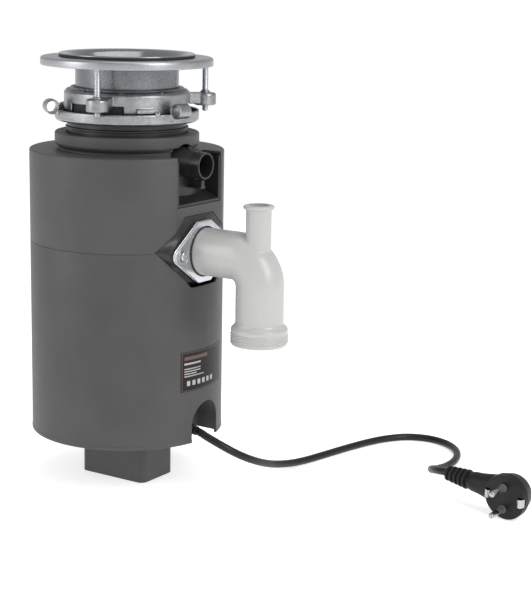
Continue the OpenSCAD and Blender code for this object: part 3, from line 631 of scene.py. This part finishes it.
# ------------------------------------------------------------------ outlet
def ear_outline(grow=0.0, n=10):
    """Outline of the outlet flange with its two screw ears, as (y, z)."""
    ey, er, mr = 34.6, 6.6 + grow, 25.7 + grow
    out = []
    for s in (1, -1):
        out.append((s * 8.5, s * mr, 2))
        for i in range(n + 1):
            a = math.radians(55.8 - 111.6 * i / n)
            out.append((s * (ey + er * math.cos(a)), s * er * math.sin(a)))
        out.append((s * 8.5, -s * mr, 2))
    return [(q.x, q.y + OZ) for q in rounded(out, 4)]


def ray_hit(outline, a):
    """Where a ray from the outlet's axis leaves a closed (y, z) outline."""
    c, d = Vector((0, OZ)), Vector((math.cos(a), math.sin(a)))
    best = 0.0
    for q0, q1 in zip(outline, list(outline[1:]) + [outline[0]]):
        q0, e = Vector(q0[:2]) - c, Vector(q1[:2]) - Vector(q0[:2])
        den = d.x * e.y - d.y * e.x
        if abs(den) < 1e-9:
            continue
        t = (q0.x * e.y - q0.y * e.x) / den
        u = (q0.x * d.y - q0.y * d.x) / den
        if t > 0 and -1e-6 <= u <= 1 + 1e-6:
            best = max(best, t)
    return c + d * best


def outlet():
    sides = (-31, 31)
    plate = temp(extrude_x(ear_outline(), 79.4, 82, 0.6))
    carve(plate, temp(along_x(cyl_bm(21.2, 70, 90, 96), 0, 0, OZ)))
    cut = [along_x(new_lathe([(0, 70), (2.4, 70), (2.4, 80.9), (4.6, 81.4), (5.0, 81.75), (5.0, 83), (0, 83)], 48, 2), 0, y, OZ) for y in sides]
    cut += [along_x(new_lathe([(6.3, 81.6), (7.3, 81.6), (7.3, 83), (6.3, 83)], 48, 2), 0, y, OZ) for y in sides]
    carve(plate, joined(cut))
    made(plate, "outlet_plate_plated", "zinc_steel", "housing", ["outlet_plate"], angle=40)
    gas = temp(extrude_x(ear_outline(0.1), 77, 79.4, 0.4))
    carve(gas, temp(along_x(cyl_bm(20.35, 70, 90, 96), 0, 0, OZ)))
    sleeve = along_x(new_lathe([(20.35, 77.2), (21.15, 77.2), (21.15, 82.9, 0.35), (20.35, 82.9, 0.35)], 96, 3), 0, 0, OZ)
    carve(gas, temp(sleeve), op="UNION")
    made(gas, "outlet_gasket_rubber", "rubber_black", "housing", ["outlet_gasket"], angle=40)
    heads = joined([along_x(new_lathe([(0, 66.5), (2.3, 66.5, 0.4), (2.3, 81.5), (3.9, 81.5, 0.3), (3.9, 84.0, 0.7), (0, 84.4)], 48, 4), 0, y, OZ) for y in sides])
    carve(heads, joined([along_x(new_lathe([(0, 83.2), (2.0, 83.2), (2.0, 87), (0, 87)], 6, 1), 0, y, OZ) for y in sides]))
    made(heads, "outlet_screws_socket", "zinc_steel", "housing", ["outlet_screws"], angle=40)
    # black moulded collar from the six-sided window out to the gasket
    rays = sorted([2 * math.pi * i / 120 for i in range(120)] + [math.atan2(z - OZ, y) % (2 * math.pi) for y, z in HEX])
    rim = [c + (ray_hit(HEX, a) - c) * 0.992 for c in (Vector((0, OZ)),) for a in rays]
    neck = [ray_hit(ear_outline(0.4), a) for a in rays]
    skin = [min(75.2, math.sqrt(81.9 ** 2 - q.x ** 2)) for q in rim]
    loops = [[(x - 5.0, q.x, q.y) for x, q in zip(skin, rim)], [(x, q.x, q.y) for x, q in zip(skin, rim)]]
    for f, lift in ((0.33, 0.25), (0.66, 0.6), (0.93, 0.96), (1.0, 1.0)):
        loops.append([(x + (76.9 - x) * lift, q.x + (w.x - q.x) * f, q.y + (w.y - q.y) * f) for x, q, w in zip(skin, rim, neck)])
    throat = temp(loft(bmesh.new(), loops))
    carve(throat, temp(along_x(cyl_bm(24.2, 50, 90, 72), 0, 0, OZ)))
    made(throat, "outlet_collar_moulded", "black_plastic", "housing", ["outlet_boot"], angle=24)


def elbow():
    lx, nx, rb = 137.0, 134.7, 23.5

    def path(r, segs=64, x0=73.4, z_end=143.0):
        def circ(c, u, v):
            return [tuple(c + u * (r * math.cos(2 * math.pi * k / segs)) + v * (r * math.sin(2 * math.pi * k / segs))) for k in range(segs)]
        Y, Z, X = Vector((0, 1, 0)), Vector((0, 0, 1)), Vector((1, 0, 0))
        loops = [circ(Vector((x0 + (lx - rb - x0) * i / 10, 0, OZ)), Y, Z) for i in range(11)]
        for i in range(1, 20):
            a = math.radians(90 * i / 20)
            loops.append(circ(Vector((lx - rb + rb * math.sin(a), 0, OZ - rb + rb * math.cos(a))), Y, Vector((math.sin(a), 0, math.cos(a)))))
        for i in range(11):
            loops.append(circ(Vector((lx, 0, OZ - rb + (z_end - OZ + rb) * i / 10)), Y, X))
        return loops
    nip = new_lathe([(0, 212), (10.5, 212), (10.5, 246.4, 0.6), (11.6, 247.0, 0.5), (12.8, 247.5, 0.8), (12.8, 250.3, 1.2), (0, 250.3)], 72, 4)
    body = melt(joined([loft(bmesh.new(), path(20.0)), put(nip, Matrix.Translation((nx, 0, 0)))]), 0.55, 10)
    collar = new_lathe([(0, 135), (22.9, 135, 1.4), (23.2, 137.4), (23.2, 145.2, 0.3), (23.55, 145.8, 0.5), (23.55, 148.9, 2.6), (20.6, 151.9, 1.4), (20.1, 153.4, 1), (0, 153.4)], 128, 6)
    carve(body, temp(put(collar, Matrix.Translation((lx, 0, 0)))), op="UNION")
    carve(body, temp(loft(bmesh.new(), path(17.5, x0=70.0, z_end=130.0))))
    carve(body, temp(put(cyl_bm(8.6, 203, 262, 64), Matrix.Translation((nx, 0, 0)))))
    made(body, "discharge_elbow_moulded", "pipe_plastic", "elbow", ["discharge_elbow"], angle=50)
    # rolled pipe thread, sat on the collar
    t = bmesh.new()
    segs, pitch, z1, z2 = 128, 2.4, 135.9, 145.6
    n = int((z2 - z1) / pitch * 10)
    rings = []
    for i in range(n + 1):
        z = z1 + (z2 - z1) * i / n
        fade = max(0.0, min(1.0, (z - z1) / 1.2, (z2 - z) / 1.2))
        loop = []
        for k in range(segs):
            r = 23.0 + 0.9 * fade * (0.5 - 0.5 * math.cos(2 * math.pi * (z / pitch - k / segs)))
            loop.append(t.verts.new((r * math.cos(2 * math.pi * k / segs), r * math.sin(2 * math.pi * k / segs), z)))
        rings.append(loop)
    low = [t.verts.new((22.6 * math.cos(2 * math.pi * k / segs), 22.6 * math.sin(2 * math.pi * k / segs), z1)) for k in range(segs)]
    high = [t.verts.new((22.6 * math.cos(2 * math.pi * k / segs), 22.6 * math.sin(2 * math.pi * k / segs), z2)) for k in range(segs)]
    for a, c in zip([low] + rings, rings + [high]):
        ring_faces(t, a, c)
    ring_faces(t, high, low)
    put(t, Matrix.Translation((lx, 0, 0)))
    made(temp(t), "elbow_pipe_thread", "pipe_plastic", "elbow", angle=60)


# ------------------------------------------------------------------ cord fittings and plug
def relief():
    """A tapered, ribbed sleeve at the cord's exit."""
    prof = [(3.42, -28), (7.3, -28, 0.5), (7.3, -25.4, 0.8), (5.9, -25.0, 0.3)]
    for k in range(6):
        z = -23.4 + 3.6 * k
        r = 5.8 - 1.9 * (z + 25.4) / 25.4
        prof += [(r, z, 0.3), (r - 0.05, z + 2.2, 0.3), (r - 0.9, z + 2.5, 0.2), (r - 0.95, z + 3.3, 0.2)]
    prof += [(3.95, -1.4, 0.2), (3.9, 0, 0.3), (3.42, 0)]
    b = new_lathe(prof, 56, 2)
    zaxis = START_DIR
    xaxis = Vector((0, 1, 0)).cross(zaxis).normalized()
    yaxis = zaxis.cross(xaxis)
    rot = Matrix((xaxis, yaxis, zaxis)).transposed().to_4x4()
    put(b, Matrix.Translation(ROUTE[0]) @ rot)
    return made(temp(b), "cord_relief_ribbed", "rubber_black", "housing", ["cord_strain_relief"], angle=40)


def plug():
    face = put(new_lathe([(0, 0), (18.2, 0, 0.6), (19, 0.8, 0.5), (19, 8.4, 0.8), (18.2, 9.2, 0.5), (18.2, 10, 2), (14.5, 21, 5), (0, 23)], 96, 5), Matrix.Rotation(math.radians(90), 4, "X"))
    ob = temp(face)
    arm = loft(bmesh.new(), [[(x, -11.5 + ry * math.cos(2 * math.pi * k / 48), rz * math.sin(2 * math.pi * k / 48)) for k in range(48)]
                             for x, ry, rz in ((0, 9.5, 14.5), (8, 9.4, 14), (15, 9.2, 12.5), (22, 9.0, 10.8), (29, 8.7, 9.2), (36, 8.4, 8.4), (39, 7.6, 7.6), (40.5, 7.0, 7.0), (63.5, 5.0, 5.0), (64, 4.6, 4.6))])
    carve(ob, temp(arm), op="UNION")
    # finger grooves either side of the face's rim
    for s in (-1, 1):
        g = put(cyl_bm(3.2, -30, 30, 32), Matrix.Translation((s * 20.8, 0, 0)) @ Matrix.Rotation(math.radians(90), 4, "X"))
        carve(ob, temp(put(box_bm(s * 16.4 - 2.6, s * 16.4 + 2.6, -3.2, 2, -4.6, 4.6), Matrix.Identity(4))))
        drop(temp(g))
    melt(ob, 0.42, 4)
    ob.data.transform(PLUG)
    made(ob, "plug_moulded", "plug_black", "housing", ["plug_body"], angle=50)
    # ribs of the plug's own relief
    b = bmesh.new()
    for k in range(5):
        r = new_lathe([(4.2, 0), (8.4 - 0.45 * k, 0, 0.6), (8.4 - 0.45 * k, 2.2, 0.6), (4.2, 2.2)], 48, 3)
        put(r, Matrix.Translation((42 + 4.6 * k, -11.5, 0)) @ Matrix.Rotation(math.radians(90), 4, "Y"))
        me = bpy.data.meshes.new("t")
        r.to_mesh(me)
        r.free()
        b.from_mesh(me)
        bpy.data.meshes.remove(me)
    ribs = temp(b)
    ribs.data.transform(PLUG)
    made(ribs, "plug_relief_ribs", "plug_black", "housing", angle=40)
    # pins and their pale insulating sleeves
    pins, sleeves = bmesh.new(), bmesh.new()
    for s in (-1, 1):
        for target, prof in ((pins, [(0, 0.2), (2.3, 0.2), (2.3, 9.0), (2.4, 9.2, 0.1), (2.4, 17.6, 0.8), (1.4, 19, 0.5), (0, 19)]),
                             (sleeves, [(2.3, 0), (3.4, 0, 0.2), (3.4, 1.6, 0.4), (2.42, 1.9, 0.2), (2.42, 9.0), (2.3, 9.0)])):
            p = new_lathe(prof, 40, 3)
            put(p, Matrix.Translation((0, 0, 9.5 * s)) @ Matrix.Rotation(math.radians(-90), 4, "X"))
            me = bpy.data.meshes.new("t")
            p.to_mesh(me)
            p.free()
            target.from_mesh(me)
            bpy.data.meshes.remove(me)
    pins, sleeves = temp(pins), temp(sleeves)
    for o in (pins, sleeves):
        o.data.transform(PLUG)
    made(pins, "plug_pins_turned", "pin_nickel", "housing", ["plug_pins"], angle=40)
    made(sleeves, "plug_pin_sleeves", "pin_sleeve", "housing", angle=40)
    b = bmesh.new()
    for s in (-1, 1):
        loops = []
        for y, x, w in ((-2.6, 18.6, 3.4), (-0.6, 18.4, 3.6), (0.9, 17.6, 3.7), (1.9, 16.4, 3.7), (2.2, 15.2, 3.5), (1.6, 14.2, 3.3), (0.2, 13.8, 3.1)):
            loops.append([(s * x, y, -w), (s * x, y, w), (s * (x - 0.6), y - 0.35, w), (s * (x - 0.6), y - 0.35, -w)])
        c = loft(bmesh.new(), loops)
        me = bpy.data.meshes.new("t")
        c.to_mesh(me)
        c.free()
        b.from_mesh(me)
        bpy.data.meshes.remove(me)
    clips = temp(b)
    clips.data.transform(PLUG)
    made(clips, "plug_clips_bent", "pin_nickel", "housing", ["plug_earth_clips"], angle=50)


# ------------------------------------------------------------------ label, floor, light
def patch(bm, r, a0, a1, z0, z1, mat=0):
    n = max(2, int(abs(a1 - a0) / 1.5))
    lo = [bm.verts.new((r * math.cos(math.radians(a0 + (a1 - a0) * i / n)), r * math.sin(math.radians(a0 + (a1 - a0) * i / n)), z0)) for i in range(n + 1)]
    hi = [bm.verts.new((v.co.x, v.co.y, z1)) for v in lo]
    for i in range(n):
        f = bm.faces.new([lo[i], lo[i + 1], hi[i + 1], hi[i]])
        f.material_index = mat


def label():
    b = bmesh.new()
    n = 30
    loops = []
    for z in (89.5, 123.5):
        arc = [math.radians(-19.5 + 40.5 * i / n) for i in range(n + 1)]
        loops.append([(82.5 * math.cos(a), 82.5 * math.sin(a), z) for a in arc] + [(82.25 * math.cos(a), 82.25 * math.sin(a), z) for a in reversed(arc)])
    loft(b, loops)
    r = 82.53
    for a0, a1, z0, z1 in ((-18.8, 20.3, 122.5, 122.9), (-18.8, 20.3, 90.1, 90.5), (-18.8, -18.4, 90.5, 122.5), (19.9, 20.3, 90.5, 122.5)):
        patch(b, r, a0, a1, z0, z1, 1)
    patch(b, r, -17, 2.5, 116.6, 119.6, 1)
    patch(b, r, -17, -4.0, 112.6, 114.2, 2)
    for i, (a, c) in enumerate(((1, 17), (1, 17), (-2.5, 17), (4, 17))):
        patch(b, r, -17, -5 + a, 108.6 - 2.1 * i, 109.5 - 2.1 * i, 2)
    for i in range(6):
        patch(b, r, -15.0 + 4.2 * i, -12.6 + 4.2 * i, 94.4, 98.6, 2)
    ob = temp(b)
    made(ob, "rating_label_plain", "label_black", "housing", ["rating_label"], angle=40, extra=("label_frame", "label_print"))


sink_mount()
lock_ring()
shells()
outlet()
elbow()
strain = relief()
plug()
label()

node_slot = {sp["node"]: sp["material_slot"] for sp in frame["record"]["subparts"]}
for n, ob in nodes.items():
    s = node_slot.get(n)
    if s in M:
        ob.data.materials.clear()
        ob.data.materials.append(M[s])


def floor_and_light():
    m, nt, bsdf = node_mat("m_floor")
    tc = nt.nodes.new("ShaderNodeTexCoord")
    n1 = noise(nt, tc.outputs["Object"], 1.2, 2.0)
    mix = nt.nodes.new("ShaderNodeMix")
    mix.data_type = "RGBA"
    mix.inputs["A"].default_value = (0.86, 0.86, 0.86, 1)
    mix.inputs["B"].default_value = (0.9, 0.9, 0.9, 1)
    nt.links.new(n1.outputs["Fac"], mix.inputs["Factor"])
    nt.links.new(mix.outputs["Result"], bsdf.inputs["Base Color"])
    bsdf.inputs["Roughness"].default_value = 0.9
    bsdf.inputs["Specular IOR Level"].default_value = 0.1
    bsdf.inputs["Emission Color"].default_value = (1, 1, 1, 1)
    bsdf.inputs["Emission Strength"].default_value = 0.56
    b = bmesh.new()
    vs = [b.verts.new(p) for p in ((-60, -60, 0), (60, -60, 0), (60, 60, 0), (-60, 60, 0))]
    b.faces.new(vs)
    me = bpy.data.meshes.new("floor")
    b.to_mesh(me)
    b.free()
    me.materials.append(m)
    floor = bpy.data.objects.new("floor", me)
    scene.collection.objects.link(floor)

    world = bpy.data.worlds.new("studio")
    scene.world = world
    world.use_nodes = True
    wt = world.node_tree
    wt.nodes.clear()
    out = wt.nodes.new("ShaderNodeOutputWorld")
    bg = wt.nodes.new("ShaderNodeBackground")
    tcw = wt.nodes.new("ShaderNodeTexCoord")
    sep = wt.nodes.new("ShaderNodeSeparateXYZ")
    wt.links.new(tcw.outputs["Generated"], sep.inputs[0])
    ramp = wt.nodes.new("ShaderNodeValToRGB")
    ramp.color_ramp.elements[0].position = 0.45
    ramp.color_ramp.elements[0].color = (0.95, 0.95, 0.95, 1)
    ramp.color_ramp.elements[1].position = 1.0
    ramp.color_ramp.elements[1].color = (0.55, 0.56, 0.58, 1)
    mr = wt.nodes.new("ShaderNodeMapRange")
    mr.inputs["From Min"].default_value = -1.0
    mr.inputs["From Max"].default_value = 1.0
    wt.links.new(sep.outputs["Z"], mr.inputs["Value"])
    wt.links.new(mr.outputs["Result"], ramp.inputs["Fac"])
    wt.links.new(ramp.outputs["Color"], bg.inputs["Color"])
    bg.inputs["Strength"].default_value = 0.75
    wt.links.new(bg.outputs[0], out.inputs["Surface"])

    def area(name, loc, target, size, energy, size_y=None):
        d = bpy.data.lights.new(name, "AREA")
        d.energy = energy
        d.size = size
        if size_y:
            d.shape = "RECTANGLE"
            d.size_y = size_y
        o = bpy.data.objects.new(name, d)
        scene.collection.objects.link(o)
        o.location = loc
        o.rotation_euler = (Vector(target) - Vector(loc)).to_track_quat("-Z", "Y").to_euler()
        return o
    area("key", (1.5, -0.2, 1.1), (0, 0, 0.2), 0.8, 16, 1.2)
    area("fill", (-0.9, -1.3, 0.8), (0, 0, 0.2), 0.8, 9, 1.2)
    area("top", (0.2, 0.1, 1.7), (0, 0, 0.3), 1.2, 6)


floor_and_light()
bpy.context.view_layer.update()
